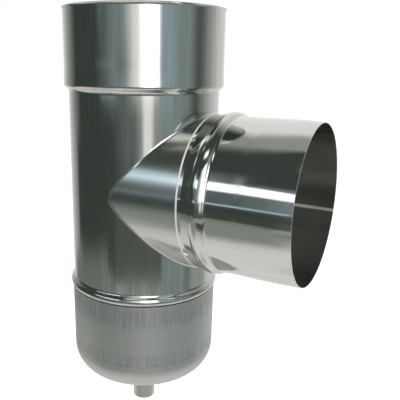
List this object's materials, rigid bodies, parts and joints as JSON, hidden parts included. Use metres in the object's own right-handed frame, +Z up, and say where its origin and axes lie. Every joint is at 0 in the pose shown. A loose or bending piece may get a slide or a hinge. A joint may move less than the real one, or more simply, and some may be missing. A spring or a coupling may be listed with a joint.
{
  "type": "stove pipe tee",
  "caption": "Single-wall stainless flue tee with a bell on top, a side branch ending in a beaded male spigot, and a push-fit drawn cap with a drain nipple that closes the lower end.",
  "frame": {"origin": "crossing of the pipe's axis and the branch's axis, at the middle of the flue's bore", "axes": "+Z up along the pipe's axis, out of the bell; +X along the branch's axis, out of its spigot; +Y to the back"},
  "size_m": [0.2092, 0.128, 0.3391],
  "materials": {
    "bright_steel": "bright-annealed sheet, almost a mirror",
    "weld_steel": "smooth weld without filler, polished",
    "drawn_steel": "satin, with fine upright draw lines",
    "turned_steel": "satin, turned"
  },
  "bodies": {
    "tee": {"tee_body": "bright_steel", "branch_collar": "bright_steel", "branch_spigot": "bright_steel", "saddle_weld": "weld_steel", "spigot_weld": "weld_steel"},
    "cap": {"condensate_cap": "drawn_steel", "drain_nipple": "turned_steel", "drain_weld": "weld_steel"}
  },
  "joints": [
    {"name": "cap_pull", "type": "slide", "parent": "tee", "child": "cap", "axis": [0, 0, -1], "range_m": [0, 0.065]}
  ]
}
